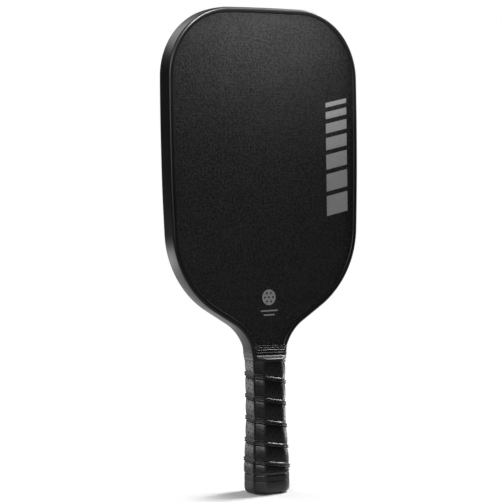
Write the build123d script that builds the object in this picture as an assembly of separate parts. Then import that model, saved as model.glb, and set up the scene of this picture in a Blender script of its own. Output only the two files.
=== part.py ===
from build123d import *
from math import atan2, cos, degrees, hypot, radians, sin, sqrt
import os

os.makedirs("parts", exist_ok=True)

# Paddle standing on its butt cap: +Z up the handle to the head, +X across the face,
# the printed front face towards -Y. All sizes in mm.

# outline of the head, measured at the outside of the edge guard
paddle_length = 419.1
paddle_width = 190.5
widest_height = 326.4
crown_radius = 2300.0
corner_radius = 60.0
side_radius = 2500.0
shoulder_radius = 82.3
shoulder_slope = 32.0  # degrees above the horizontal
throat_radius = 40.3
neck_half_width = 15.8
neck_height = 113.6

# blade sandwich
blade_thickness = 16.0
face_thickness = 0.5
bond_thickness = 0.1
cell_width = 7.6  # across the flats
cell_wall = 0.3
core_rim = 0.8  # closed band left round the cut cells
smallest_cell = 4.0  # area of cut cells left out, in square mm

# edge guard channel
guard_wall = 1.2
guard_lip = 1.05
guard_reach = 4.7
guard_round = 1.4
guard_bottom = 121.0
guard_tape_thickness = 0.2
guard_tape_margin = 0.7

# handle
handle_width = 28.0
handle_bevel = 5.65
shell_wall = 4.2  # over the blade's faces
shell_side_wall = 3.0  # beside the tongue
handle_top = 117.0
handle_top_bevel = 2.5
shell_slip = 0.05
shell_glue = 0.1
shell_glue_margin = 1.0

# butt cap
cap_floor = 5.0
cap_shelf = 12.1
cap_height = 25.0
cap_skirt = 2.4
cap_corner_round = 5.0
cap_bottom_round = 4.5

# grip
backing_thickness = 0.1
wrap_thickness = 1.8
wrap_top = 117.0
wrap_flare = 45.0  # height over which the wrap swells towards the cap

# finishing tape
tape_thickness = 0.6
tape_gap = 0.2
tape_top = 128.7
tape_shoulder = 120.7
tape_bottom = 115.1
tape_corner = 0.8

# staples
staple_width = 9.0
staple_wire = 0.8
staple_crown = 0.5
staple_leg = 3.6
cap_staple_height = 20.5
wrap_staple_height = 16.5

# printed marks
ink_thickness = 0.06
bar_count = 7
bar_tallest = 17.5
bar_shortest = 4.0
bar_gap = 4.0
bar_width = 22.0
bar_lean = 4.5
bar_margin = 7.0  # from the guard's lip to the bars
bar_bottom = 238.7
ball_radius = 6.8
ball_hole_radius = 0.95
ball_ring_radius = 4.1
ball_height = 170.2
line_height = 1.2
line_widths = (17.0, 11.0)
line_pitch = 3.6
line_top = 158.6

# sizes that follow from the ones above
panel_inset = guard_wall + guard_tape_thickness
core_thickness = blade_thickness - 2 * (face_thickness + bond_thickness)
handle_depth = blade_thickness + 2 * shell_wall
tongue_width = handle_width - 2 * shell_side_wall
guard_half_depth = blade_thickness / 2 + guard_lip
wrap_growth = backing_thickness + wrap_thickness
cap_growth = cap_skirt + wrap_thickness


def circles_meet(first, first_radius, second, second_radius):
    """The crossing point of two circles that lies furthest right and up."""
    gap_x = second[0] - first[0]
    gap_z = second[1] - first[1]
    gap = hypot(gap_x, gap_z)
    along = (gap * gap + first_radius**2 - second_radius**2) / (2 * gap)
    aside = sqrt(first_radius**2 - along**2)
    mid_x = first[0] + along * gap_x / gap
    mid_z = first[1] + along * gap_z / gap
    crossings = [
        (mid_x - aside * gap_z / gap, mid_z + aside * gap_x / gap),
        (mid_x + aside * gap_z / gap, mid_z - aside * gap_x / gap),
    ]
    return max(crossings, key=sum)


def angle_from(centre, point):
    return degrees(atan2(point[1] - centre[1], point[0] - centre[0]))


# arc centres of the right half of the outline, as (x, z)
crown_centre = (0, paddle_length - crown_radius)
side_centre = (paddle_width / 2 - side_radius, widest_height)
corner_centre = circles_meet(
    crown_centre, crown_radius - corner_radius, side_centre, side_radius - corner_radius
)
throat_centre = (neck_half_width + throat_radius, neck_height)
slope_x = cos(radians(shoulder_slope))
slope_z = sin(radians(shoulder_slope))


def shoulder_point():
    """Centre of the shoulder arc, tangent to the sloping line and to the side arc."""
    reach = throat_radius + shoulder_radius
    start_x = throat_centre[0] - reach * slope_z - side_centre[0]
    start_z = throat_centre[1] + reach * slope_x - side_centre[1]
    half = start_x * slope_x + start_z * slope_z
    rest = start_x**2 + start_z**2 - (side_radius - shoulder_radius) ** 2
    run = sqrt(half * half - rest) - half
    return (
        side_centre[0] + start_x + run * slope_x,
        side_centre[1] + start_z + run * slope_z,
    )


shoulder_centre = shoulder_point()


def arc(centre, radius, start, end):
    return CenterArc((*centre, 0), radius, start, end - start)


def neck_half_width_at(height, inset=0):
    """Half the neck's width at a height on the throat arc, inside the outer line by inset."""
    return throat_centre[0] - sqrt((throat_radius + inset) ** 2 - (height - neck_height) ** 2)


def outline(inset, bottom):
    """Closed face inside the guard's outer line by inset, cut off level at bottom."""
    start_z = max(bottom, neck_height)
    start_x = neck_half_width_at(start_z, inset)
    line_angle = shoulder_slope + 90
    throat = throat_radius + inset
    shoulder = shoulder_radius - inset
    line_start = (
        throat_centre[0] - throat * slope_z,
        throat_centre[1] + throat * slope_x,
    )
    line_end = (
        shoulder_centre[0] + shoulder * slope_z,
        shoulder_centre[1] - shoulder * slope_x,
    )
    side_low = angle_from(side_centre, shoulder_centre)
    side_high = angle_from(side_centre, corner_centre)
    crown_low = angle_from(crown_centre, corner_centre)
    half = [
        Line((0, bottom), (start_x, bottom)),
        arc(throat_centre, throat, angle_from(throat_centre, (start_x, start_z)), line_angle),
        Line(line_start, line_end),
        arc(shoulder_centre, shoulder, shoulder_slope - 90, side_low),
        arc(side_centre, side_radius - inset, side_low, side_high),
        arc(corner_centre, corner_radius - inset, side_high, crown_low),
        arc(crown_centre, crown_radius - inset, crown_low, 90),
    ]
    if bottom < neck_height:
        half.append(Line((start_x, bottom), (start_x, neck_height)))
    return make_face(half + [mirror(edge, about=Plane.YZ) for edge in half])


def slab(face, back, front):
    """Solid of a face drawn in x and z, from depth back to depth front, counted towards -Y."""
    return extrude(Plane.XZ.offset(back) * face, amount=front - back)


def thick(face, half_depth):
    return slab(face, -half_depth, half_depth)


def above(height):
    size = 1000
    return Pos(0, 0, height + size / 2) * Box(size, size, size)


def octagon(growth, width=handle_width, depth=handle_depth, bevel=handle_bevel):
    """Eight-sided section of the handle, its faces moved outwards by growth."""
    x = width / 2 + growth
    y = depth / 2 + growth
    cut = bevel + (2 - sqrt(2)) * growth
    quarter = [(x, y - cut), (x - cut, y)]
    left = [(-a, b) for a, b in reversed(quarter)]
    lower = [(-a, -b) for a, b in quarter]
    right = [(a, -b) for a, b in reversed(quarter)]
    return make_face(Polyline(*quarter, *left, *lower, *right, close=True))


def prism(growth, bottom, top):
    return Pos(0, 0, bottom) * extrude(octagon(growth), amount=top - bottom)


def turned(shape):
    """The same piece on the back, turned half way round the paddle's long axis."""
    return Rot(0, 0, 180) * shape


def panel(inset):
    """Outline of the blade and of the narrower tongue that runs down inside the handle."""
    low = cap_floor + inset
    tongue = Rectangle(tongue_width - 2 * inset, handle_top - low, align=(Align.CENTER, Align.MIN))
    return outline(panel_inset + inset, handle_top) + Pos(0, low) * tongue


def honeycomb_core():
    rim = panel(core_rim).faces()[0]
    pitch = cell_width + cell_wall
    row_step = pitch * sqrt(3) / 2
    columns = int(paddle_width / 2 / pitch) + 1
    whole = []
    cut = []
    for row in range(int(paddle_length / row_step)):
        for column in range(-columns, columns):
            cell = hexagon((column + 0.5 * (row % 2)) * pitch, row * row_step)
            kept = [rim.is_inside(corner) for corner in cell.vertices()]
            if all(kept):
                whole.append(cell.outer_wire())
            elif any(kept):
                cut += (Sketch([cell]) & Sketch([rim])).faces()
    plate = Face(panel(0).faces()[0].outer_wire(), whole)
    cut = [part for part in cut if part.area > smallest_cell]
    return thick(Sketch([plate]) - cut, core_thickness / 2)


def hexagon(x, z):
    corner = cell_width / sqrt(3)
    turns = [radians(60 * k) for k in range(6)]
    points = [(x + corner * sin(turn), z + corner * cos(turn), 0) for turn in turns]
    return Face(Wire.make_polygon(points))


def front_bond_film():
    depth = core_thickness / 2
    return slab(panel(0), depth, depth + bond_thickness)


def front_face_sheet():
    depth = blade_thickness / 2
    return slab(panel(0), depth - face_thickness, depth)


def edge_guard():
    block = thick(outline(0, handle_top), guard_half_depth)
    block = fillet(block.edges().filter_by(is_rim), guard_round)
    window = thick(outline(guard_reach, cap_floor), guard_half_depth + 1)
    channel = thick(outline(guard_wall, cap_floor), blade_thickness / 2)
    return (block - window - channel) & above(guard_bottom)


def is_rim(edge):
    """True for the edges that run round the outline on the front or back of a slab."""
    depths = [abs(v.Y) for v in edge.vertices()]
    heights = [v.Z for v in edge.vertices()]
    return min(depths) > guard_half_depth - 0.01 and max(heights) > handle_top + 0.01


def guard_tape():
    depth = blade_thickness / 2 - guard_tape_margin
    strip = outline(guard_wall, handle_top) - outline(panel_inset, cap_floor)
    return thick(strip, depth) & above(guard_bottom)


def front_side_mark():
    """A ladder of leaning bars that get thinner towards the top of the head."""
    right = paddle_width / 2 - guard_reach - bar_margin
    left = right - bar_width
    low = bar_bottom
    bars = Sketch()
    for number in range(bar_count):
        share = number / (bar_count - 1)
        height = bar_tallest + (bar_shortest - bar_tallest) * share
        corners = [
            (left, low),
            (right, low + bar_lean),
            (right, low + bar_lean + height),
            (left, low + height),
        ]
        bars += make_face(Polyline(*corners, close=True))
        low += height + bar_gap
    return on_face(bars)


def front_throat_mark():
    ball = Pos(0, ball_height) * Circle(ball_radius)
    holes = [Pos(0, ball_height) * Circle(ball_hole_radius)]
    for place in PolarLocations(ball_ring_radius, 6):
        holes.append(Pos(0, ball_height) * place * Circle(ball_hole_radius))
    mark = ball - holes
    for number, width in enumerate(line_widths):
        z = line_top - number * line_pitch
        mark += Pos(0, z) * Rectangle(width, line_height)
    return on_face(mark)


def on_face(sketch):
    depth = blade_thickness / 2
    return slab(sketch, depth, depth + ink_thickness)


def staple(height):
    """Staple driven into the front of the cap's skirt: a crown flush with it and two legs."""
    face = -(handle_depth / 2 + cap_skirt)
    crown = Box(staple_width, staple_crown, staple_wire)
    leg = Box(staple_wire, staple_leg, staple_wire)
    body = Pos(0, face + staple_crown / 2, height) * crown
    for side in (-1, 1):
        x = side * (staple_width - staple_wire) / 2
        body += Pos(x, face + staple_leg / 2, height) * leg
    return body


def cap_staples():
    front = staple(cap_staple_height)
    return Compound(children=[front, turned(front)])


def wrap_staple():
    return turned(staple(wrap_staple_height))


def all_staples():
    front = staple(cap_staple_height)
    return [front, turned(front), wrap_staple()]


def handle_shell(side):
    """One of the two moulded halves round the tongue; side is -1 at the front, 1 at the back."""
    shell = prism(0, cap_floor, handle_top)
    shell = chamfer(shell.edges().group_by(Axis.Z)[-1], handle_top_bevel)
    reach = 100
    shell &= Pos(0, side * reach / 2, handle_top / 2) * Box(reach, reach, 2 * handle_top)
    tongue = Box(
        tongue_width + 2 * shell_slip,
        blade_thickness + 2 * shell_glue,
        3 * handle_top,
    )
    return shell - tongue - all_staples()


def front_shell_glue():
    width = tongue_width - 2 * shell_glue_margin
    low = cap_height
    high = handle_top - handle_top_bevel - shell_glue_margin
    strip = Pos(0, (low + high) / 2) * Rectangle(width, high - low)
    depth = blade_thickness / 2
    return slab(strip, depth, depth + shell_glue)


def butt_cap():
    corners = octagon(cap_growth)
    foot = extrude(fillet(corners.vertices(), cap_corner_round), amount=cap_shelf)
    foot = fillet(foot.edges().group_by(Axis.Z)[0], cap_bottom_round)
    skirt = prism(cap_skirt, cap_shelf, cap_height)
    socket = prism(shell_slip, cap_floor, cap_height + 1)
    return foot + skirt - socket - all_staples()


def grip_backing():
    sleeve = prism(backing_thickness, cap_height, handle_top - handle_top_bevel)
    return sleeve - prism(0, cap_floor, handle_top)


def grip_wrap():
    lower = prism(cap_growth, cap_shelf, cap_height)
    wide = Pos(0, 0, cap_height) * octagon(cap_growth)
    narrow = Pos(0, 0, cap_height + wrap_flare) * octagon(wrap_growth)
    flare = loft([wide, narrow])
    upper = prism(wrap_growth, cap_height + wrap_flare, wrap_top)
    inside = prism(cap_skirt, cap_shelf - 1, cap_height)
    inside += prism(backing_thickness, cap_height, wrap_top + 1)
    return lower + flare + upper - inside


def finishing_tape():
    outer = tape_body(tape_gap + tape_thickness, tape_top)
    return outer - tape_body(tape_gap, tape_top + 1) - tape_tail(tape_gap)


def tape_tail(growth):
    """Straight run below the tape's lower edge, wide enough to clear the wrap."""
    return prism(wrap_growth + growth, tape_bottom - 5, tape_bottom)


def tape_body(growth, top):
    """Solid under the tape's surface: round the wrap, sloping in, then up the neck."""
    neck_width = 2 * neck_half_width_at(tape_shoulder)
    neck_depth = 2 * guard_half_depth
    low = prism(wrap_growth + growth, tape_bottom, wrap_top)
    ring = Pos(0, 0, wrap_top) * octagon(wrap_growth + growth)
    collar = octagon(growth, neck_width, neck_depth, tape_corner)
    slope = loft([ring, Pos(0, 0, tape_shoulder) * collar])
    block = thick(outline(-growth, handle_top), guard_half_depth + growth)
    upper = block & above(tape_shoulder)
    return low + slope + upper - above(top)


pieces = {
    "honeycomb_core": honeycomb_core(),
    "front_bond_film": front_bond_film(),
    "back_bond_film": turned(front_bond_film()),
    "front_face_sheet": front_face_sheet(),
    "back_face_sheet": turned(front_face_sheet()),
    "front_side_mark": front_side_mark(),
    "back_side_mark": turned(front_side_mark()),
    "front_throat_mark": front_throat_mark(),
    "back_throat_mark": turned(front_throat_mark()),
    "edge_guard": edge_guard(),
    "guard_tape": guard_tape(),
    "front_handle_shell": handle_shell(-1),
    "back_handle_shell": handle_shell(1),
    "front_shell_glue": front_shell_glue(),
    "back_shell_glue": turned(front_shell_glue()),
    "butt_cap": butt_cap(),
    "cap_staples": cap_staples(),
    "wrap_staple": wrap_staple(),
    "grip_backing": grip_backing(),
    "grip_wrap": grip_wrap(),
    "finishing_tape": finishing_tape(),
}

for name, piece in pieces.items():
    export_step(piece, f"parts/{name}.step")
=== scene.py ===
import bmesh
import bpy
import math
from mathutils import Matrix, Vector


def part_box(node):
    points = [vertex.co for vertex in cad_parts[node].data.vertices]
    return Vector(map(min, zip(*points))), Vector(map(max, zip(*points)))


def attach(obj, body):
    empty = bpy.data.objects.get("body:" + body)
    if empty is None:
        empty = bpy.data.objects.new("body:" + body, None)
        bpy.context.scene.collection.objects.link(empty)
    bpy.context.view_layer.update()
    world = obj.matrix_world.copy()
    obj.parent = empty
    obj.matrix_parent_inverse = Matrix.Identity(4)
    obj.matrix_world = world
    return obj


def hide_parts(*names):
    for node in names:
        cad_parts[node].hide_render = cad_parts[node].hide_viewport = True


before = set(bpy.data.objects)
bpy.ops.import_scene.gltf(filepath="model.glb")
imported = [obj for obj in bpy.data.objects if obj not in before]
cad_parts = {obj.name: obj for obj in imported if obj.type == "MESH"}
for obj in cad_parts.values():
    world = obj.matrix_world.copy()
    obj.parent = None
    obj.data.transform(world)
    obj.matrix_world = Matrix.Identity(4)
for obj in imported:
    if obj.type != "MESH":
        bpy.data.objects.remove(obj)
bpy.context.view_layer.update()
mm = 0.001


def hexColour(code):  # sRGB hex to the linear values that the shaders want
    parts = [int(code[i:i + 2], 16) / 255 for i in (1, 3, 5)]
    linear = [c / 12.92 if c <= 0.04045 else ((c + 0.055) / 1.055) ** 2.4 for c in parts]
    return (*linear, 1.0)


def addNode(tree, kind, inputs=None, **settings):
    node = tree.nodes.new(kind)
    for name, value in settings.items():
        setattr(node, name, value)
    for socket, value in (inputs or {}).items():
        if isinstance(value, bpy.types.NodeSocket):
            tree.links.new(value, node.inputs[socket])
        else:
            node.inputs[socket].default_value = value
    return node


def newMaterial(name):
    material = bpy.data.materials.new(name)
    material.use_nodes = True
    material.node_tree.nodes.clear()
    return material, material.node_tree


def finishMaterial(tree, shader):
    addNode(tree, "ShaderNodeOutputMaterial", {"Surface": shader.outputs[0]})


def ramp(tree, value, stops):
    node = addNode(tree, "ShaderNodeValToRGB", {"Fac": value})
    while len(node.color_ramp.elements) < len(stops):
        node.color_ramp.elements.new(0.5)
    for element, (place, colour) in zip(node.color_ramp.elements, stops):
        element.position = place
        element.color = colour
    return node.outputs["Color"]


def grey(level):
    return (level, level, level, 1)


def work(tree, operation, *values):  # one sum in a tree
    node = addNode(tree, "ShaderNodeMath", dict(enumerate(values)), operation=operation)
    return node.outputs[0]


def meshObject(name, points, edges=(), faces=()):
    mesh = bpy.data.meshes.new(name)
    mesh.from_pydata(points, edges, faces)
    mesh.update()
    piece = bpy.data.objects.new(name, mesh)
    bpy.context.scene.collection.objects.link(piece)
    return piece


def newRecipe(name, sizes):  # an empty Geometry Nodes tree with named sizes
    tree = bpy.data.node_groups.new(name, "GeometryNodeTree")
    tree.interface.new_socket("Geometry", in_out="INPUT", socket_type="NodeSocketGeometry")
    for label, value in sizes.items():
        kind = "NodeSocketInt" if isinstance(value, int) else "NodeSocketFloat"
        tree.interface.new_socket(label, in_out="INPUT", socket_type=kind)
    tree.interface.new_socket("Geometry", in_out="OUTPUT", socket_type="NodeSocketGeometry")
    return tree, addNode(tree, "NodeGroupInput").outputs


def endRecipe(tree, geometry, finish):
    solid = addNode(tree, "GeometryNodeRealizeInstances", {"Geometry": geometry})
    dressed = addNode(tree, "GeometryNodeSetMaterial", {"Geometry": solid.outputs[0], "Material": finish})
    addNode(tree, "NodeGroupOutput", {"Geometry": dressed.outputs[0]})


def growPiece(name, start, tree, sizes):  # runs the recipe and keeps the plain mesh that it gives
    modifier = start.modifiers.new(name, "NODES")
    modifier.node_group = tree
    for item in tree.interface.items_tree:
        if item.in_out == "INPUT" and item.name in sizes:
            modifier[item.identifier] = sizes[item.name]
    evaluated = start.evaluated_get(bpy.context.evaluated_depsgraph_get())
    mesh = bpy.data.meshes.new_from_object(evaluated)
    mesh.name = name
    piece = bpy.data.objects.new(name, mesh)
    bpy.context.scene.collection.objects.link(piece)
    bpy.data.objects.remove(start)
    return piece


def settlePiece(piece, node, crease):
    for face in piece.data.polygons:
        face.use_smooth = True
    piece.data.set_sharp_from_angle(angle=math.radians(crease))
    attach(piece, "root")
    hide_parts(node)
    print(piece.name, len(piece.data.polygons), "faces")


cameraSetup = {
    "turn": 31.43,  # degrees to the left of straight in front of the printed face
    "lift": 2.47,  # degrees above level
    "roll": -0.90,
    "distance": 1.494,
    "lens": 123.7,
    "aimHeight": 0.20955,
    "aimLeft": 0.0107,
    "aimUp": 0.00042,
}


def makeCamera(setup):
    turn, lift, roll = (math.radians(setup[k]) for k in ("turn", "lift", "roll"))
    level = Vector((math.cos(turn), -math.sin(turn), 0))
    back = Vector((-math.sin(turn) * math.cos(lift), -math.cos(turn) * math.cos(lift), math.sin(lift)))
    upright = back.cross(level)
    right = math.cos(roll) * level + math.sin(roll) * upright
    up = -math.sin(roll) * level + math.cos(roll) * upright
    aim = Vector((0, 0, setup["aimHeight"])) - setup["aimLeft"] * right + setup["aimUp"] * up
    data = bpy.data.cameras.new("camera")
    data.lens = setup["lens"]
    data.sensor_width = 36
    data.clip_start, data.clip_end = 0.05, 20
    camera = bpy.data.objects.new("camera", data)
    axes = Matrix((right, up, back)).transposed().to_4x4()
    camera.matrix_world = Matrix.Translation(aim + back * setup["distance"]) @ axes
    bpy.context.scene.collection.objects.link(camera)
    bpy.context.scene.camera = camera


makeCamera(cameraSetup)
print("camera set")


studio = {
    "floorSize": 8.0,
    "floorColour": "#f1f1f2",
    "floorShade": "#eeeeef",
    "clearFrom": 0.02,  # metres from the butt, where the floor starts to blend into the white air
    "clearTo": 0.09,
    "worldSeen": 1.0,
    "worldLight": 0.04,
    "spreads": {"nearTopSoftbox": 34},  # degrees; the other lights are bare
    "glowBehind": 1.3,  # strength of the floor's glow behind the paddle: painted light that stands in for a lit floor and lights its lower edges
    "glowBefore": 0.3,  # the same in front
    "glowCentre": (0.35, 0.20, 0.0),
    "glowFrom": 0.48,  # distance from that centre where the glow starts to fade
    "glowTo": 1.2,
    "glowDepth": 0.4,  # distance behind the paddle over which the glow grows to its full strength
    # name, place, aim, width, height, watts
    "lights": [
        ("frontLeftSoftbox", (-1.6, -1.5, 1.0), (0.0, 0.0, 0.22), 1.0, 1.0, 25),
        ("nearTopSoftbox", (0.02, -0.37, 0.74), (0.01, 0.0, 0.50), 0.14, 0.10, 0.75),
        ("lowBackCard", (-0.28, 0.43, 0.06), (0.0, 0.0, 0.06), 0.22, 0.11, 0.26),
        ("lowRightCard", (0.36, 0.14, 0.02), (0.36, 0.14, 1.0), 0.3, 0.3, 0.6),
        ("highRightSoftbox", (0.85, 0.0, 1.1), (0.0, 0.0, 0.08), 0.35, 0.35, 20),
        ("topBackSoftbox", (-0.35, 0.9, 1.25), (0.0, 0.0, 0.35), 1.1, 0.8, 6),
        ("rightStrip", (1.5, 0.1, 0.5), (0.0, 0.0, 0.2), 0.3, 1.0, 5),
    ],
}


def makeStudio(setup):
    half = setup["floorSize"] / 2
    corners = [(-half, -half, 0), (half, -half, 0), (half, half, 0), (-half, half, 0)]
    floor = meshObject("floor", corners, [], [(0, 1, 2, 3)])
    material, tree = newMaterial("paintedBoard")
    place = addNode(tree, "ShaderNodeTexCoord").outputs["Object"]
    mottle = addNode(tree, "ShaderNodeTexNoise", {
        "Vector": place, "Scale": 4.0, "Detail": 3.0,
    }).outputs["Fac"]
    shades = [hexColour(setup[k]) for k in ("floorShade", "floorColour")]
    shade = ramp(tree, mottle, list(zip((0.3, 0.7), shades)))
    paint = addNode(tree, "ShaderNodeBsdfPrincipled", {"Base Color": shade, "Roughness": 0.8})
    away = addNode(tree, "ShaderNodeVectorMath", {0: place}, operation="LENGTH").outputs["Value"]
    clear = addNode(tree, "ShaderNodeMapRange", {
        "Value": away, "From Min": setup["clearFrom"], "From Max": setup["clearTo"],
    }, interpolation_type="SMOOTHERSTEP").outputs[0]
    path = addNode(tree, "ShaderNodeLightPath").outputs["Is Camera Ray"]
    depth = addNode(tree, "ShaderNodeSeparateXYZ", {0: place}).outputs["Y"]
    glowing = addNode(tree, "ShaderNodeMapRange", {
        "Value": depth, "From Min": 0.0, "From Max": setup["glowDepth"],
        "To Min": setup["glowBefore"], "To Max": setup["glowBehind"],
    }).outputs[0]
    apart = addNode(tree, "ShaderNodeVectorMath", {0: place, 1: setup["glowCentre"]}, operation="DISTANCE")
    near = addNode(tree, "ShaderNodeMapRange", {
        "Value": apart.outputs["Value"], "From Min": setup["glowFrom"], "From Max": setup["glowTo"],
        "To Min": 1.0, "To Max": 0.0,
    }).outputs[0]
    # painted light: the floor glows for every ray that is not a camera ray, most behind the paddle, and so
    # lights the paddle as a lit floor would
    strength = work(tree, "MAXIMUM", path, work(tree, "MULTIPLY", glowing, near))
    glow = addNode(tree, "ShaderNodeEmission", {"Color": grey(1), "Strength": strength})
    mixed = addNode(tree, "ShaderNodeMixShader", {0: clear, 1: paint.outputs[0], 2: glow.outputs[0]})
    finishMaterial(tree, mixed)
    floor.data.materials.append(material)

    world = bpy.data.worlds.new("studioAir")
    world.use_nodes = True
    tree = world.node_tree
    tree.nodes.clear()
    path = addNode(tree, "ShaderNodeLightPath").outputs["Is Camera Ray"]
    seen = addNode(tree, "ShaderNodeBackground", {"Color": grey(1), "Strength": setup["worldSeen"]})
    cast = addNode(tree, "ShaderNodeBackground", {"Color": grey(1), "Strength": setup["worldLight"]})
    mixed = addNode(tree, "ShaderNodeMixShader", {0: path, 1: cast.outputs[0], 2: seen.outputs[0]})
    addNode(tree, "ShaderNodeOutputWorld", {"Surface": mixed.outputs[0]})
    bpy.context.scene.world = world

    for name, place, aim, width, height, watts in setup["lights"]:
        data = bpy.data.lights.new(name, "AREA")
        data.shape = "RECTANGLE"
        data.size, data.size_y, data.energy = width, height, watts
        data.spread = math.radians(setup["spreads"].get(name, 180))
        light = bpy.data.objects.new(name, data)
        light.location = place
        light.visible_camera = False
        light.rotation_euler = (Vector(aim) - Vector(place)).to_track_quat("-Z", "Y").to_euler()
        bpy.context.scene.collection.objects.link(light)


makeStudio(studio)
bpy.context.scene.view_settings.view_transform = "Standard"
print("studio set")


carbonFace = {
    "grit": 1.9,  # mm; the peel-ply print is about 0.4 mm and is drawn coarser so that it shows
    "weave": 1.3,  # mm between threads, drawn coarser for the same reason
    "patch": 30,  # mm; width of the cloudy places
    "dark": "#020202",
    "pale": "#1c1c1d",
}


def rawCarbonPeelPly(look):
    # carbon cloth cured under peel ply: matt near-black with a dry gritty print that glints in places
    material, tree = newMaterial("rawCarbonPeelPly")
    place = addNode(tree, "ShaderNodeTexCoord").outputs["Object"]
    grit = addNode(tree, "ShaderNodeTexNoise", {
        "Vector": place, "Scale": 1 / (look["grit"] * mm), "Detail": 3.0, "Roughness": 0.75,
    }).outputs["Fac"]
    patch = addNode(tree, "ShaderNodeTexNoise", {
        "Vector": place, "Scale": 1 / (look["patch"] * mm), "Detail": 5.0,
    }).outputs["Fac"]
    threads = [addNode(tree, "ShaderNodeTexWave", {
        "Vector": place, "Scale": 0.314 / (look["weave"] * mm), "Distortion": 1.5, "Detail": 1.0,
    }, wave_type="BANDS", bands_direction=axis).outputs["Fac"] for axis in "XZ"]
    weave = work(tree, "MULTIPLY", *threads)
    relief = work(tree, "MULTIPLY_ADD", weave, 0.12, work(tree, "MULTIPLY", grit, 0.95))
    relief = work(tree, "MULTIPLY_ADD", patch, 0.12, relief)
    shade = ramp(tree, relief, [(0.48, hexColour(look["dark"])), (0.64, hexColour(look["pale"]))])
    rough = ramp(tree, relief, [(0.48, grey(0.75)), (0.64, grey(0.42))])
    bump = addNode(tree, "ShaderNodeBump", {"Height": relief, "Strength": 1.0, "Distance": 1.1 * mm})
    shader = addNode(tree, "ShaderNodeBsdfPrincipled", {
        "Base Color": shade, "Roughness": rough, "Normal": bump.outputs[0], "IOR": 1.35,
    })
    finishMaterial(tree, shader)
    return material


def mouldedPlastic(name, look):
    # moulded part: even colour with faint flow marks and a fine tooled grain
    material, tree = newMaterial(name)
    place = addNode(tree, "ShaderNodeTexCoord").outputs["Object"]
    flow = addNode(tree, "ShaderNodeTexNoise", {
        "Vector": place, "Scale": 1 / (22 * mm), "Detail": 3.0,
    }).outputs["Fac"]
    fine = addNode(tree, "ShaderNodeTexNoise", {
        "Vector": place, "Scale": 1 / (look["grain"] * mm), "Detail": 2.0,
    }).outputs["Fac"]
    shade = ramp(tree, flow, [(0.35, hexColour(look["dark"])), (0.7, hexColour(look["pale"]))])
    rough = ramp(tree, fine, [(0.3, grey(look["rough"] - 0.05)), (0.7, grey(look["rough"] + 0.06))])
    bump = addNode(tree, "ShaderNodeBump", {"Height": fine, "Strength": 0.3, "Distance": look["depth"] * mm})
    shader = addNode(tree, "ShaderNodeBsdfPrincipled", {
        "Base Color": shade, "Roughness": rough, "Normal": bump.outputs[0], "IOR": look["ior"],
    })
    finishMaterial(tree, shader)
    return material


def printedInk():
    # screen-printed ink: flat grey that sinks into the cloth grit and thins on its high spots
    material, tree = newMaterial("printedInk")
    place = addNode(tree, "ShaderNodeTexCoord").outputs["Object"]
    grit = addNode(tree, "ShaderNodeTexNoise", {
        "Vector": place, "Scale": 1 / (carbonFace["grit"] * mm), "Detail": 3.0, "Roughness": 0.7,
    }).outputs["Fac"]
    shade = ramp(tree, grit, [(0.3, hexColour("#939393")), (0.7, hexColour("#a2a2a2"))])
    bump = addNode(tree, "ShaderNodeBump", {"Height": grit, "Strength": 0.3, "Distance": 0.08 * mm})
    shader = addNode(tree, "ShaderNodeBsdfPrincipled", {
        "Base Color": shade, "Roughness": 0.62, "Normal": bump.outputs[0],
    })
    finishMaterial(tree, shader)
    return material


def stapleWire():
    # zinc-plated steel wire: soft metal shine, a little uneven
    material, tree = newMaterial("zincPlatedWire")
    place = addNode(tree, "ShaderNodeTexCoord").outputs["Object"]
    noise = addNode(tree, "ShaderNodeTexNoise", {
        "Vector": place, "Scale": 1 / (0.5 * mm), "Detail": 2.0,
    }).outputs["Fac"]
    rough = ramp(tree, noise, [(0.3, grey(0.28)), (0.7, grey(0.42))])
    shader = addNode(tree, "ShaderNodeBsdfPrincipled", {
        "Base Color": hexColour("#b9babd"), "Metallic": 1.0, "Roughness": rough,
    })
    finishMaterial(tree, shader)
    return material


# thermoplastic rubber edging: satin black, soft broad shine along its shoulder
guardFinish = mouldedPlastic("mouldedEdgeRubber", {
    "dark": "#0d0d0e", "pale": "#141415", "rough": 0.36, "grain": 0.9, "depth": 0.02, "ior": 1.5,
})
# thermoplastic rubber cap: as the edging but duller
capFinish = mouldedPlastic("mouldedCapRubber", {
    "dark": "#121213", "pale": "#1a1a1b", "rough": 0.45, "grain": 0.8, "depth": 0.03, "ior": 1.5,
})
# calendered vinyl tape stretched round the neck: smooth and fairly shiny
tapeFinish = mouldedPlastic("stretchedVinylTape", {
    "dark": "#0c0c0d", "pale": "#131314", "rough": 0.34, "grain": 1.4, "depth": 0.04, "ior": 1.53,
})
# polyurethane leather: soft satin black with a fine pebble
wrapFinish = mouldedPlastic("polyurethaneLeather", {
    "dark": "#0c0c0d", "pale": "#151516", "rough": 0.34, "grain": 0.9, "depth": 0.06, "ior": 1.5,
})
# extruded polypropylene, unpainted and milky
coreFinish = mouldedPlastic("extrudedPolypropylene", {
    "dark": "#d0cfca", "pale": "#e0dfdb", "rough": 0.5, "grain": 1.0, "depth": 0.02, "ior": 1.49,
})
# epoxy film, amber and glassy
resinFinish = mouldedPlastic("curedEpoxy", {
    "dark": "#b39d68", "pale": "#c2ac78", "rough": 0.25, "grain": 0.8, "depth": 0.02, "ior": 1.55,
})
# double-sided foam tape: pale and dry
foamTapeFinish = mouldedPlastic("foamMountingTape", {
    "dark": "#c6c4bd", "pale": "#d6d4cd", "rough": 0.7, "grain": 0.5, "depth": 0.03, "ior": 1.45,
})
# moulded ABS halves with a light spark-eroded grain
shellFinish = mouldedPlastic("mouldedAbs", {
    "dark": "#1b1b1c", "pale": "#242425", "rough": 0.45, "grain": 0.9, "depth": 0.03, "ior": 1.52,
})
faceFinish = rawCarbonPeelPly(carbonFace)
inkFinish = printedInk()
stapleFinish = stapleWire()

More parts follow.
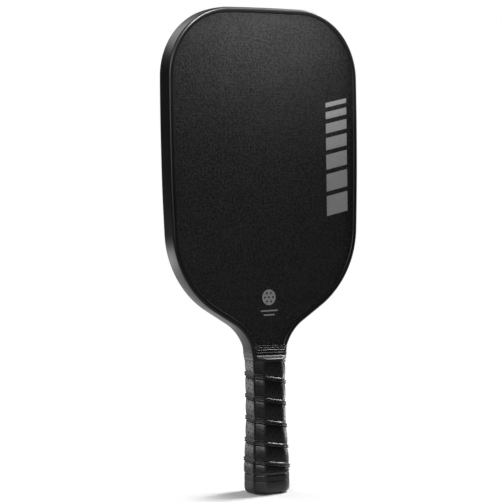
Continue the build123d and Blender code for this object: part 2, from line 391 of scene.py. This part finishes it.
nodeFinishes = {
    "honeycomb_core": coreFinish,
    "front_bond_film": resinFinish,
    "back_bond_film": resinFinish,
    "front_face_sheet": faceFinish,
    "back_face_sheet": faceFinish,
    "front_side_mark": inkFinish,
    "back_side_mark": inkFinish,
    "front_throat_mark": inkFinish,
    "back_throat_mark": inkFinish,
    "edge_guard": guardFinish,
    "guard_tape": foamTapeFinish,
    "front_handle_shell": shellFinish,
    "back_handle_shell": shellFinish,
    "front_shell_glue": resinFinish,
    "back_shell_glue": resinFinish,
    "butt_cap": capFinish,
    "cap_staples": stapleFinish,
    "wrap_staple": stapleFinish,
    "grip_backing": foamTapeFinish,
    "grip_wrap": wrapFinish,
    "finishing_tape": tapeFinish,
}
for name, finish in nodeFinishes.items():
    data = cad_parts[name].data
    data.materials.clear()
    data.materials.append(finish)
print("finishes made")


guardLow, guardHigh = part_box("edge_guard")
shellLow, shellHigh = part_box("front_handle_shell")

headShape = {  # the outside line of the head, mm
    "length": guardHigh[2] / mm,
    "width": (guardHigh[0] - guardLow[0]) / mm,
    "widestHeight": 326.4,
    "crownRadius": 2300.0,
    "cornerRadius": 60.0,
    "sideRadius": 2500.0,
    "shoulderRadius": 82.3,
    "shoulderSlope": 32.0,  # degrees
    "throatRadius": 40.3,
    "neckHalfWidth": 15.8,
    "neckHeight": 113.6,
}


def throatHalfWidth(shape, height):
    rise = max(height - shape["neckHeight"], 0)
    radius = shape["throatRadius"]
    return shape["neckHalfWidth"] + radius - math.sqrt(radius ** 2 - rise ** 2)


def headLine(shape, low, step):  # points up the right side, over the top and down the left, mm
    slope = math.radians(shape["shoulderSlope"])
    along, across = Vector((math.cos(slope), math.sin(slope))), Vector((-math.sin(slope), math.cos(slope)))
    throat = Vector((shape["neckHalfWidth"] + shape["throatRadius"], shape["neckHeight"]))
    crown = Vector((0, shape["length"] - shape["crownRadius"]))
    side = Vector((shape["width"] / 2 - shape["sideRadius"], shape["widestHeight"]))
    # the corner's centre lies where the two circles that it touches from inside cross
    big, small = shape["sideRadius"] - shape["cornerRadius"], shape["crownRadius"] - shape["cornerRadius"]
    gap = side - crown
    run = (gap.length_squared + small ** 2 - big ** 2) / (2 * gap.length)
    aside = math.sqrt(small ** 2 - run ** 2)
    middle = crown + gap.normalized() * run
    normal = Vector((-gap.y, gap.x)).normalized()
    corner = max(middle + normal * aside, middle - normal * aside, key=lambda point: point.x + point.y)
    # the shoulder touches the sloping line and the side
    start = throat + across * (shape["throatRadius"] + shape["shoulderRadius"]) - side
    half = start.dot(along)
    rest = start.length_squared - (shape["sideRadius"] - shape["shoulderRadius"]) ** 2
    shoulder = side + start + along * (math.sqrt(half * half - rest) - half)

    def turnTo(centre, point):
        return math.atan2(point.y - centre.y, point.x - centre.x)

    def bend(centre, radius, first, last):
        count = max(2, int(abs(last - first) * radius / step))
        turns = [first + (last - first) * k / count for k in range(count + 1)]
        return [centre + radius * Vector((math.cos(turn), math.sin(turn))) for turn in turns]

    sideFirst, sideLast = turnTo(side, shoulder), turnTo(side, corner)
    lowTurn = math.pi - math.asin((low - shape["neckHeight"]) / shape["throatRadius"])
    line = bend(throat, shape["throatRadius"], lowTurn, slope + math.pi / 2)
    line += bend(shoulder, shape["shoulderRadius"], slope - math.pi / 2, sideFirst)
    line += bend(side, shape["sideRadius"], sideFirst, sideLast)
    line += bend(corner, shape["cornerRadius"], sideLast, turnTo(crown, corner))
    line += bend(crown, shape["crownRadius"], turnTo(crown, corner), math.pi / 2)
    line = [b for a, b in zip([Vector((0, 0))] + line, line) if (b - a).length > 0.05]
    return line + [Vector((-point.x, point.y)) for point in reversed(line[:-1])]


guardShape = {  # the channel round the head, mm
    "wall": 1.2,
    "reach": 4.7,
    "halfDepth": guardHigh[1] / mm,
    "bladeHalf": 8.03,
    "shoulder": 2.2,
    "crown": 0.2,  # how far the middle of the wall stands out
    "lipSlope": 2.1,  # width over which the lip falls towards the face
    "lipStand": 0.15,
    "low": guardLow[2] / mm,
    "step": 1.5,
}


def guardSection(shape):  # closed line, through the head's depth in x and outwards in y
    r, e = shape["shoulder"], shape["lipSlope"]
    top = shape["halfDepth"]
    half = []
    for k in range(5):
        share = k / 5
        half.append((-shape["crown"] * share ** 2, (top - r) * share))
    for k in range(9):
        turn = math.radians(90 * k / 8)
        half.append((-shape["crown"] - r + r * math.cos(turn), top - r + r * math.sin(turn)))
    fall = top - shape["bladeHalf"] - shape["lipStand"]
    for k in range(7):
        turn = math.radians(90 + 90 * k / 6)
        half.append((-shape["reach"] + e + e * math.cos(turn), top - fall + fall * math.sin(turn)))
    half.append((-shape["reach"], shape["bladeHalf"]))
    half.append((-shape["wall"], shape["bladeHalf"]))
    points = half + [(x, -y) for x, y in reversed(half[1:])]
    return [(y * mm, x * mm, 0) for x, y in points]


def makeEdgeGuard(head, shape):
    # a profile run along the head's line, with the slight waviness of edging pressed on by hand
    sizes = {"Step": shape["step"] * mm, "Waviness": 0.3 * mm, "Wave Length": 75 * mm, "Seed": 4.0}
    tree, inputs = newRecipe("edgeGuardRecipe", sizes)
    section = guardSection(shape)
    ring = meshObject("guardSection", section, [(k, (k + 1) % len(section)) for k in range(len(section))])
    path = addNode(tree, "GeometryNodeMeshToCurve", {"Mesh": inputs["Geometry"]}).outputs[0]
    path = addNode(tree, "GeometryNodeResampleCurve", {
        "Curve": path, "Length": inputs["Step"],
    }, mode="LENGTH").outputs[0]
    place = addNode(tree, "GeometryNodeInputPosition").outputs[0]
    wave = addNode(tree, "ShaderNodeTexNoise", {
        "Vector": place, "W": inputs["Seed"],
        "Scale": work(tree, "DIVIDE", 1.0, inputs["Wave Length"]), "Detail": 1.0,
    }, noise_dimensions="4D").outputs["Color"]
    centred = addNode(tree, "ShaderNodeVectorMath", {
        0: wave, 1: (0.5, 0.5, 0.5)}, operation="SUBTRACT").outputs[0]
    flat = addNode(tree, "ShaderNodeVectorMath", {0: centred, 1: (2, 0, 2)}, operation="MULTIPLY").outputs[0]
    shift = addNode(tree, "ShaderNodeVectorMath", {
        0: flat, "Scale": inputs["Waviness"]}, operation="SCALE").outputs[0]
    path = addNode(tree, "GeometryNodeSetPosition", {"Geometry": path, "Offset": shift}).outputs[0]
    profile = addNode(tree, "GeometryNodeObjectInfo", {"Object": ring}).outputs["Geometry"]
    profile = addNode(tree, "GeometryNodeMeshToCurve", {"Mesh": profile}).outputs[0]
    body = addNode(tree, "GeometryNodeCurveToMesh", {
        "Curve": path, "Profile Curve": profile, "Fill Caps": True,
    }).outputs[0]
    endRecipe(tree, body, guardFinish)
    line = [(point.x * mm, 0, point.y * mm) for point in headLine(head, shape["low"], shape["step"])]
    start = meshObject("guardLine", line, [(k, k + 1) for k in range(len(line) - 1)])
    piece = growPiece("edgeGuard", start, tree, sizes)
    bpy.data.objects.remove(ring)
    return piece


def faceOutwards(piece):
    mesh = bmesh.new()
    mesh.from_mesh(piece.data)
    bmesh.ops.remove_doubles(mesh, verts=mesh.verts, dist=0.00001)
    bmesh.ops.recalc_face_normals(mesh, faces=mesh.faces)
    mesh.to_mesh(piece.data)
    mesh.free()


edgeGuard = makeEdgeGuard(headShape, guardShape)
faceOutwards(edgeGuard)
settlePiece(edgeGuard, "edge_guard", 40)


handleShape = {  # the eight-sided handle under the wrap, mm
    "halfWidth": shellHigh[0] / mm,
    "halfDepth": -shellLow[1] / mm,
    "bevel": 5.65,
}


def eightSided(halfWidth, halfDepth, cut, roundings, height, steps=6):
    # one ring, anticlockwise from above, mm; the first rounding is for the corners beside the
    # sides, the second for those beside the front and back
    corners = []
    for sx, sy in ((1, -1), (1, 1), (-1, 1), (-1, -1)):
        pair = [(sx * halfWidth, sy * (halfDepth - cut)), (sx * (halfWidth - cut), sy * halfDepth)]
        corners += reversed(pair) if sx * sy < 0 else pair
    ring = []
    for number, here in enumerate(corners):
        here = Vector(here)
        before = (Vector(corners[number - 1]) - here).normalized()
        after = (Vector(corners[(number + 1) % 8]) - here).normalized()
        reach = roundings[0 if abs(here.x) > halfWidth - 0.001 else 1] * math.tan(math.radians(22.5))
        for k in range(steps + 1):
            t = k / steps
            first, last = here + before * reach, here + after * reach
            point = first * (1 - t) ** 2 + here * 2 * t * (1 - t) + last * t ** 2
            ring.append((point.x * mm, point.y * mm, height * mm))
    return ring


def handleRing(growth, roundings, height):  # the handle's section moved outwards by growth
    cut = handleShape["bevel"] + (2 - math.sqrt(2)) * growth
    halfWidth, halfDepth = handleShape["halfWidth"] + growth, handleShape["halfDepth"] + growth
    return eightSided(halfWidth, halfDepth, cut, roundings, height)


def skinRings(name, rings, finish):  # closed body through a stack of rings with equal counts
    count = len(rings[0])
    faces = [tuple(reversed(range(count)))]
    for level in range(len(rings) - 1):
        a, b = level * count, (level + 1) * count
        faces += [(a + k, a + (k + 1) % count, b + (k + 1) % count, b + k) for k in range(count)]
    faces.append(tuple(range((len(rings) - 1) * count, len(rings) * count)))
    piece = meshObject(name, [point for ring in rings for point in ring], [], faces)
    piece.data.materials.append(finish)
    return piece


wrapShape = {  # the wound strip, mm
    "growth": 1.9,  # outside of the wrap over the bare handle
    "capGrowth": 4.2,  # outside of the wrap at the butt cap
    "swellFrom": 70.0,  # height where it starts to swell towards the cap
    "swellTo": 24.0,
    "corners": (2.4, 8.0),  # soft, and softer beside the front
    "bottom": 12.1,
    "top": 116.6,
    "pitch": 19.07,
    "seamHeight": 82.2,  # height of the seam at the left front corner
    "lowestRaised": 2.9,  # the lowest turn lies closer to the one above
    "lowestFrom": 44.1,
    "lean": 0.094,  # every turn lies a little higher at the front than at the back
    "tile": 6.4,  # distance between holes along the strip
    "rows": 5,
    "holeRadius": 0.55,
    "holeDepth": 0.9,
    "band": 17.3,  # top of the plain band at the butt
    # height over the strip's middle, from its lower edge upwards; two beads and a crease, then the panel
    "profile": [(0.0, -1.0), (0.45, 0.15), (1.2, 0.95), (2.15, 0.4), (3.1, 1.0), (3.9, 0.35), (4.5, -0.3),
                (5.4, 0.0), (8.5, 0.3), (13.0, 0.35), (16.5, 0.15), (18.8, -0.2), (19.6, -0.9), (22.9, -1.2)],
}


def piercedTile(shape):  # one square of the strip with a round hole, lying flat
    cells = 10
    height = shape["pitch"] / shape["rows"]
    points = []
    for i in range(cells + 1):
        for j in range(cells + 1):
            across, along = i - cells // 2, j - cells // 2
            ring = max(abs(across), abs(along))
            x, y, z = across / cells * shape["tile"], along / cells * height, 0.0
            if ring in (1, 2):
                turn = math.atan2(along, across)
                radius = shape["holeRadius"] * (1.15 if ring == 2 else 0.85)
                x, y = radius * math.cos(turn), radius * math.sin(turn)
            if ring < 2:
                z = -shape["holeDepth"]
            points.append((x * mm, y * mm, z * mm))
    side = cells + 1
    faces = [(i * side + j, (i + 1) * side + j, (i + 1) * side + j + 1, i * side + j + 1)
             for i in range(cells) for j in range(cells)]
    return meshObject("piercedTile", points, [], faces)


def makeGripWrap(shape):
    # a pierced strip wound up the handle, each turn laid over the edge of the one below
    section = handleRing(shape["growth"], shape["corners"], 0)
    tile = piercedTile(shape)
    around = sum((Vector(a) - Vector(b)).length for a, b in zip(section, section[1:] + section[:1]))
    pitch = shape["pitch"] * mm
    # the seam's own height is measured two millimetres above the strip's lower edge
    cornerX = handleShape["bevel"] - handleShape["halfWidth"]
    corner = Vector((cornerX, -handleShape["halfDepth"] - shape["growth"])) * mm
    nearest = min(range(len(section)), key=lambda k: (Vector(section[k][:2]) - corner).length)
    share = sum((Vector(section[k]) - Vector(section[k + 1])).length for k in range(nearest)) / around
    turns = math.ceil((shape["top"] - shape["bottom"]) / shape["pitch"]) + 2
    lowest = shape["bottom"] * mm - 1.5 * pitch
    lapsToCorner = (shape["seamHeight"] * mm - 0.0022 - lowest) / pitch
    sizes = {
        "Around": around,
        "Pitch": pitch,
        "Lowest": lowest,
        "Start": share + lapsToCorner,
        "Tile Length": shape["tile"] * mm,
        "Tile Height": pitch / shape["rows"],
        "Tiles": int(turns * around / (shape["tile"] * mm)),
        "Rows": shape["rows"] + 1,
        "Bottom": shape["bottom"] * mm,
        "Top": shape["top"] * mm,
        "Band": shape["band"] * mm,
        "Swell": (shape["capGrowth"] - shape["growth"]) * mm,
    }
    tree, inputs = newRecipe("gripWrapRecipe", sizes)

    # the flat strip: rows of tiles, every other row moved by half a tile
    spots = addNode(tree, "GeometryNodeMeshGrid", {
        "Size X": work(tree, "MULTIPLY", inputs["Tile Length"], work(tree, "SUBTRACT", inputs["Tiles"], 1)),
        "Size Y": work(tree, "MULTIPLY", inputs["Tile Height"], work(tree, "SUBTRACT", inputs["Rows"], 1)),
        "Vertices X": inputs["Tiles"],
        "Vertices Y": inputs["Rows"],
    }).outputs[0]
    index = addNode(tree, "GeometryNodeInputIndex").outputs[0]
    row = work(tree, "MODULO", index, inputs["Rows"])
    column = work(tree, "FLOOR", work(tree, "DIVIDE", index, inputs["Rows"]))
    stagger = work(tree, "MULTIPLY", work(tree, "MODULO", row, 2.0), 0.5)
    x = work(tree, "MULTIPLY", work(tree, "ADD", column, stagger), inputs["Tile Length"])
    y = work(tree, "MULTIPLY", work(tree, "ADD", row, 0.5), inputs["Tile Height"])
    spot = addNode(tree, "ShaderNodeCombineXYZ", {"X": x, "Y": y}).outputs[0]
    spots = addNode(tree, "GeometryNodeSetPosition", {"Geometry": spots, "Position": spot}).outputs[0]
    square = addNode(tree, "GeometryNodeObjectInfo", {"Object": tile}).outputs["Geometry"]
    strip = addNode(tree, "GeometryNodeInstanceOnPoints", {"Points": spots, "Instance": square}).outputs[0]
    strip = addNode(tree, "GeometryNodeRealizeInstances", {"Geometry": strip}).outputs[0]
    strip = addNode(tree, "GeometryNodeMergeByDistance", {
        "Geometry": strip, "Distance": 0.02 * mm,
    }).outputs[0]

    # where each point of the strip comes to lie
    place = addNode(tree, "GeometryNodeInputPosition").outputs[0]
    place = addNode(tree, "ShaderNodeSeparateXYZ", {0: place})
    lap = work(tree, "DIVIDE", place.outputs["X"], inputs["Around"])
    strand = work(tree, "ADD", place.outputs["Y"], inputs["Lowest"])
    rise = work(tree, "MULTIPLY_ADD", lap, inputs["Pitch"], strand)
    raised = addNode(tree, "ShaderNodeMapRange", {
        "Value": rise, "From Min": shape["lowestFrom"] * mm - pitch, "From Max": shape["lowestFrom"] * mm,
        "To Min": shape["lowestRaised"] * mm, "To Max": 0.0,
    }).outputs[0]
    rise = work(tree, "ADD", rise, raised)
    loop = addNode(tree, "GeometryNodeMeshToCurve", {"Mesh": inputs["Geometry"]}).outputs[0]
    factor = work(tree, "FRACT", work(tree, "SUBTRACT", inputs["Start"], lap))
    sample = addNode(tree, "GeometryNodeSampleCurve", {
        "Curves": loop, "Factor": factor,
    }, mode="FACTOR", data_type="FLOAT_VECTOR")
    depth = addNode(tree, "ShaderNodeSeparateXYZ", {0: sample.outputs["Position"]}).outputs["Y"]
    front = work(tree, "ADD", depth, (handleShape["halfDepth"] + shape["growth"]) * mm)
    rise = work(tree, "MULTIPLY_ADD", front, -shape["lean"], rise)
    height = work(tree, "MINIMUM", work(tree, "MAXIMUM", rise, inputs["Bottom"]), inputs["Top"])

    edge = addNode(tree, "ShaderNodeFloatCurve", {
        "Value": work(tree, "DIVIDE", place.outputs["Y"], shape["profile"][-1][0] * mm),
    })
    line = edge.mapping.curves[0]
    for spotX, spotY in shape["profile"][1:-1]:
        line.points.new(spotX / shape["profile"][-1][0], spotY / 4 + 0.5)
    line.points[0].location = (0, shape["profile"][0][1] / 4 + 0.5)
    line.points[len(line.points) - 1].location = (1, shape["profile"][-1][1] / 4 + 0.5)
    edge.mapping.update()
    bead = work(tree, "MULTIPLY", work(tree, "SUBTRACT", edge.outputs[0], 0.5), 4 * mm)
    free = addNode(tree, "ShaderNodeMapRange", {
        "Value": height, "From Min": inputs["Band"], "From Max": work(tree, "ADD", inputs["Band"], 2.5 * mm),
    }, interpolation_type="SMOOTHSTEP").outputs[0]
    bead = work(tree, "MULTIPLY", bead, free)
    panel = work(tree, "GREATER_THAN", place.outputs["Y"], 4.6 * mm)
    panel = work(tree, "MULTIPLY", panel, work(tree, "LESS_THAN", place.outputs["Y"], pitch))
    panel = work(tree, "MULTIPLY", panel, work(tree, "GREATER_THAN", free, 0.15))
    hole = work(tree, "MULTIPLY", place.outputs["Z"], panel)
    groove = addNode(tree, "ShaderNodeMapRange", {
        "Value": work(tree, "ABSOLUTE", work(tree, "SUBTRACT", height, inputs["Band"])),
        "From Min": 0.0, "From Max": 0.8 * mm, "To Min": -0.6 * mm, "To Max": 0.0,
    }, interpolation_type="SMOOTHSTEP").outputs[0]
    swell = addNode(tree, "ShaderNodeMapRange", {
        "Value": height, "From Min": shape["swellTo"] * mm, "From Max": shape["swellFrom"] * mm,
        "To Min": 1.0, "To Max": 0.0,
    }).outputs[0]
    swell = work(tree, "MULTIPLY", work(tree, "POWER", swell, 1.5), inputs["Swell"])
    soft = addNode(tree, "ShaderNodeTexNoise", {
        "Vector": addNode(tree, "ShaderNodeCombineXYZ", {
            "X": place.outputs["X"], "Y": place.outputs["Y"]}).outputs[0],
        "Scale": 1 / (14 * mm), "Detail": 1.0,
    }).outputs["Fac"]
    soft = work(tree, "MULTIPLY", work(tree, "SUBTRACT", soft, 0.5), 0.5 * mm)
    pressed = work(tree, "ADD", work(tree, "ADD", swell, soft), groove)
    out = work(tree, "ADD", work(tree, "ADD", bead, hole), pressed)

    outward = addNode(tree, "ShaderNodeVectorMath", {
        0: sample.outputs["Tangent"], 1: (0, 0, 1)}, operation="CROSS_PRODUCT").outputs[0]
    aside = addNode(tree, "ShaderNodeVectorMath", {0: outward, "Scale": out}, operation="SCALE").outputs[0]
    upward = addNode(tree, "ShaderNodeCombineXYZ", {"Z": height}).outputs[0]
    there = addNode(tree, "ShaderNodeVectorMath", {
        0: sample.outputs["Position"], 1: aside}, operation="ADD").outputs[0]
    there = addNode(tree, "ShaderNodeVectorMath", {0: there, 1: upward}, operation="ADD").outputs[0]

    # what falls outside the wrapped length is cut off level
    below = work(tree, "LESS_THAN", rise, work(tree, "SUBTRACT", inputs["Bottom"], 0.4 * mm))
    over = work(tree, "GREATER_THAN", rise, work(tree, "ADD", inputs["Top"], 0.4 * mm))
    outside = work(tree, "GREATER_THAN", work(tree, "ADD", below, over), 0.5)
    strip = addNode(tree, "GeometryNodeDeleteGeometry", {
        "Geometry": strip, "Selection": outside}, domain="FACE").outputs[0]
    strip = addNode(tree, "GeometryNodeSetPosition", {"Geometry": strip, "Position": there}).outputs[0]
    strip = addNode(tree, "GeometryNodeFlipFaces", {"Mesh": strip}).outputs[0]
    endRecipe(tree, strip, wrapFinish)

    start = meshObject("handleSection", section, [(k, (k + 1) % len(section)) for k in range(len(section))])
    piece = growPiece("gripWrap", start, tree, sizes)
    bpy.data.objects.remove(tile)
    return piece


gripWrap = makeGripWrap(wrapShape)
settlePiece(gripWrap, "grip_wrap", 55)


capShape = {  # mm
    "growth": 4.2,
    "corners": (5.0, 9.0),
    "bottomRound": 4.6,
    "shelf": 12.1,
    "topRound": 0.7,
    "stub": 16.0,  # the skirt that stands up inside the wrap
    "stubGrowth": 2.4,
}


def makeButtCap(shape):
    rings = []
    r = shape["bottomRound"]
    for k in range(8):
        turn = math.radians(90 * k / 7)
        growth = shape["growth"] - r + r * math.sin(turn)
        rings.append(handleRing(growth, shape["corners"], r - r * math.cos(turn)))
    rings.append(handleRing(shape["growth"] + 0.12, shape["corners"], 0.6 * shape["shelf"]))
    e = shape["topRound"]
    for k in range(5):
        turn = math.radians(90 * k / 4)
        growth = shape["growth"] - e + e * math.cos(turn)
        rings.append(handleRing(growth, shape["corners"], shape["shelf"] - e + e * math.sin(turn)))
    rings.append(handleRing(shape["stubGrowth"], shape["corners"], shape["shelf"]))
    rings.append(handleRing(shape["stubGrowth"], shape["corners"], shape["stub"]))
    return skinRings("buttCap", rings, capFinish)


buttCap = makeButtCap(capShape)
settlePiece(buttCap, "butt_cap", 50)


tapeShape = {  # mm
    "bottom": 115.1,
    "shoulder": 120.7,
    "top": 128.7,
    "growth": 0.75,
    "tilt": 0.035,  # how far the lower edge leans across the handle
    "steps": [(122.6, 0.3), (124.9, 0.25), (126.9, 0.2)],  # height and drop of each lap's edge
}


def makeFinishingTape(shape, head):
    halfDepth = guardShape["halfDepth"]
    lowWidth = handleShape["halfWidth"] + wrapShape["growth"]
    lowDepth = handleShape["halfDepth"] + wrapShape["growth"]
    lowCut = handleShape["bevel"] + (2 - math.sqrt(2)) * wrapShape["growth"]

    def lowRing(growth, height):
        cut = lowCut + 0.586 * growth
        return eightSided(lowWidth + growth, lowDepth + growth, cut, (3.0, 8.0), height, 7)

    def highRing(growth, height):
        wide = throatHalfWidth(head, height) + growth
        return eightSided(wide, halfDepth + growth, 2.2, (1.6, 1.6), height, 7)

    rings = [lowRing(-0.3, shape["bottom"] + 0.1), lowRing(shape["growth"] - 0.15, shape["bottom"])]
    rings.append(lowRing(shape["growth"], shape["bottom"] + 0.25))
    rings.append(lowRing(shape["growth"] + 0.1, shape["bottom"] + 1.4))
    wide = throatHalfWidth(head, shape["shoulder"])
    for k in range(1, 7):
        t = k / 7
        ease = t * t * (3 - 2 * t)
        height = shape["bottom"] + 1.5 + (shape["shoulder"] - shape["bottom"] - 1.5) * t
        rings.append(eightSided(
            lowWidth + 0.8 + (wide + 0.9 - lowWidth - 0.8) * ease,
            lowDepth + 0.8 + (halfDepth + 0.9 - lowDepth - 0.8) * ease,
            lowCut + (2.2 - lowCut) * ease, (3.0 - 1.4 * ease, 8.0 - 6.4 * ease), height, 7))
    growth = 0.95
    rings.append(highRing(growth, shape["shoulder"]))
    for height, drop in shape["steps"]:
        rings.append(highRing(growth, height - 0.12))
        growth -= drop
        rings.append(highRing(growth, height + 0.12))
    rings.append(highRing(growth, shape["top"] - 0.15))
    rings.append(highRing(growth - 0.12, shape["top"]))
    rings.append(highRing(-0.3, shape["top"]))
    tilted = [[(x, y, z - shape["tilt"] * x) for x, y, z in ring] for ring in rings]
    return skinRings("finishingTape", tilted, tapeFinish)


finishingTape = makeFinishingTape(tapeShape, headShape)
settlePiece(finishingTape, "finishing_tape", 32)
